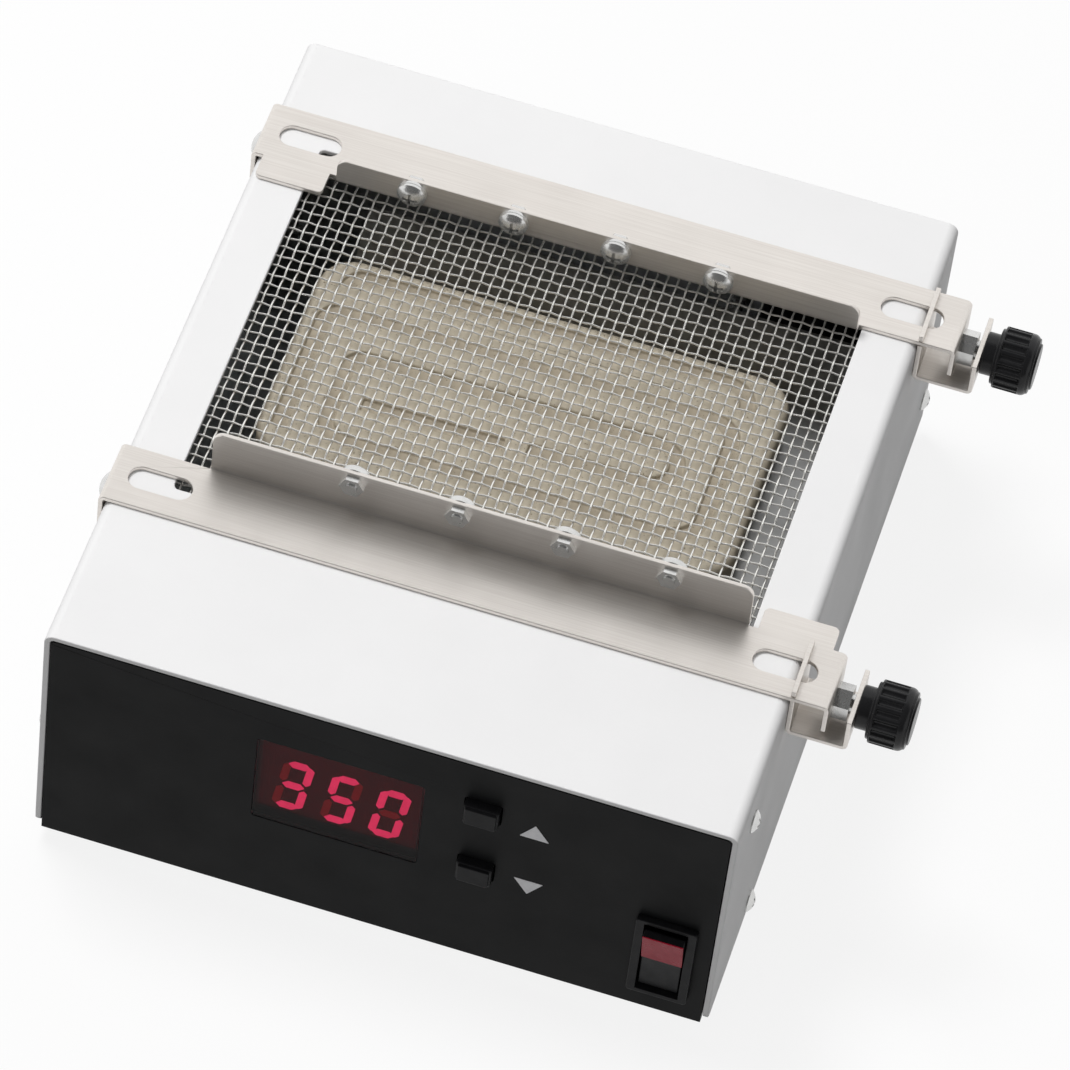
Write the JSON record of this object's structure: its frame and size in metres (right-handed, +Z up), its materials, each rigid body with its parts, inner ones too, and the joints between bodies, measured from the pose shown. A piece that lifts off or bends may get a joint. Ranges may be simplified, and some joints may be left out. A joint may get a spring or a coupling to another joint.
{
  "type": "pcb preheater",
  "caption": "Bench preheater for circuit boards: a ceramic infrared plate under a wire screen in a folded housing, with sliding clamp rails that hold the board.",
  "frame": {"origin": "on the table under the middle of the housing's footprint, in the plane of the feet", "axes": "+X to the right as seen from the front panel, +Y from the panel to the rear, +Z up"},
  "size_m": [0.2087, 0.2119, 0.0973],
  "materials": {
    "cover_paint": "satin powder coat",
    "panel_paint": "satin black",
    "sheet_steel": "galvanised",
    "bright_sheet": "bright",
    "stainless": "brushed",
    "wire": "drawn wire",
    "plated": "nickel plated",
    "brass": "bare",
    "heater_glaze": "satin",
    "white_ceramic": "matt",
    "rubber": "matt",
    "black_plastic": "satin",
    "rocker_red": "gloss",
    "display": "gloss",
    "filter_red": "gloss",
    "board": "satin"
  },
  "bodies": {
    "housing": {"cover": "cover_paint", "cover_screws": "cover_paint", "front_panel": "panel_paint", "panel_nuts": "plated", "chassis": "sheet_steel", "rubber_feet": "rubber", "foot_screws": "plated", "foot_nuts": "plated", "wire_mesh": "wire", "mesh_frame": "sheet_steel", "mesh_frame_nuts": "plated", "ceramic_heater": "heater_glaze", "reflector": "bright_sheet", "reflector_screws": "plated", "heater_clip": "sheet_steel", "heater_leads": "white_ceramic", "terminal_block": "white_ceramic", "terminal_screws": "brass", "thermocouple": "plated", "heat_shield": "sheet_steel", "shield_screws": "plated", "control_board": "board", "board_standoffs": "brass", "board_screws": "plated", "display_module": "display", "display_window": "filter_red", "button_switches": "black_plastic", "switch_housing": "black_plastic", "transformer": "black_plastic", "heat_sink": "bright_sheet", "triac": "black_plastic", "mains_inlet": "black_plastic", "inlet_pins": "brass", "inlet_screws": "plated", "inlet_nuts": "plated", "earth_stud": "brass"},
    "front_rail": {"front_rail": "stainless", "front_rail_screws": "plated", "front_rail_washers": "plated", "front_rail_nuts": "plated", "front_stop_screw": "plated", "front_clamp_nut": "plated"},
    "front_clamp": {"front_clamp_bracket": "stainless"},
    "front_knob": {"front_knob": "black_plastic", "front_knob_stud": "plated"},
    "rear_rail": {"rear_rail": "stainless", "rear_rail_screws": "plated", "rear_rail_washers": "plated", "rear_rail_nuts": "plated", "rear_stop_screw": "plated", "rear_clamp_nut": "plated"},
    "rear_clamp": {"rear_clamp_bracket": "stainless"},
    "rear_knob": {"rear_knob": "black_plastic", "rear_knob_stud": "plated"},
    "up_button": {"up_button": "black_plastic"},
    "down_button": {"down_button": "black_plastic"},
    "power_rocker": {"power_rocker": "rocker_red"}
  },
  "joints": [
    {"name": "front_rail_slide", "type": "slide", "parent": "housing", "child": "front_rail", "axis": [0, 1, 0], "range_m": [-0.02, 0.035]},
    {"name": "front_clamp_slide", "type": "slide", "parent": "front_rail", "child": "front_clamp", "axis": [1, 0, 0], "range_m": [0, 0.0016]},
    {"name": "front_knob_turn", "type": "hinge", "parent": "front_clamp", "child": "front_knob", "pos_m": [0.1034, -0.0499, 0.0768], "axis": [1, 0, 0], "range_deg": [0, 720]},
    {"name": "rear_rail_slide", "type": "slide", "parent": "housing", "child": "rear_rail", "axis": [0, 1, 0], "range_m": [-0.035, 0.015]},
    {"name": "rear_clamp_slide", "type": "slide", "parent": "rear_rail", "child": "rear_clamp", "axis": [1, 0, 0], "range_m": [0, 0.0016]},
    {"name": "rear_knob_turn", "type": "hinge", "parent": "rear_clamp", "child": "rear_knob", "pos_m": [0.1034, 0.0694, 0.0768], "axis": [1, 0, 0], "range_deg": [0, 720]},
    {"name": "up_button_press", "type": "slide", "parent": "housing", "child": "up_button", "axis": [0, 1, 0], "range_m": [0, 0.0015], "stiffness_N_per_m": 500, "springref_m": -0.001},
    {"name": "down_button_press", "type": "slide", "parent": "housing", "child": "down_button", "axis": [0, 1, 0], "range_m": [0, 0.0015], "stiffness_N_per_m": 500, "springref_m": -0.001},
    {"name": "power_rocker_tilt", "type": "hinge", "parent": "housing", "child": "power_rocker", "pos_m": [0.074, -0.101, 0.0273], "axis": [1, 0, 0], "range_deg": [-15.5, 0]}
  ],
  "couplings": [
    {"joint": "front_knob_turn", "follows": "front_clamp_slide", "rad_per_m": 7854},
    {"joint": "rear_knob_turn", "follows": "rear_clamp_slide", "rad_per_m": 7854}
  ]
}
